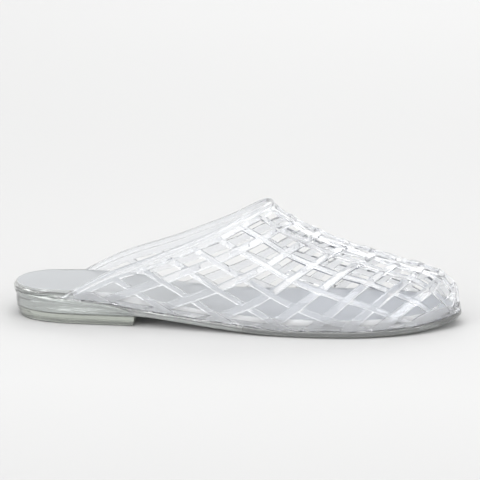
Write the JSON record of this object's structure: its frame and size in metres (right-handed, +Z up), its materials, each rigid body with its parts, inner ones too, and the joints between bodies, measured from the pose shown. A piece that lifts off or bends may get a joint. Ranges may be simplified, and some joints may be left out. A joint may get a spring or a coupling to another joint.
{
  "type": "jelly mule",
  "caption": "Clear moulded slip-on mule for the right foot: open woven-look lattice upper, pale footbed, flanged sole with arch and toe spring, low heel block.",
  "frame": {"origin": "middle of the shoe's box on the floor, between heel and toe and between its two sides", "axes": "+X from the heel towards the toe, +Y towards the inner (arch) side, +Z up from the floor"},
  "size_m": [0.2552, 0.0859, 0.0679],
  "materials": {
    "sole": "clear moulded PVC, glossy, faint grey-green tint",
    "heel": "clear moulded PVC in a thick block, grey-green tint",
    "platform": "clear moulded PVC, glossy",
    "footbed": "pale grey frosted PVC sheet, satin",
    "upper": "clear moulded PVC, high gloss"
  },
  "bodies": {
    "root": {"outsole": "sole", "heel": "heel", "midsole": "platform", "insole": "footbed", "upper": "upper"}
  },
  "joints": []
}
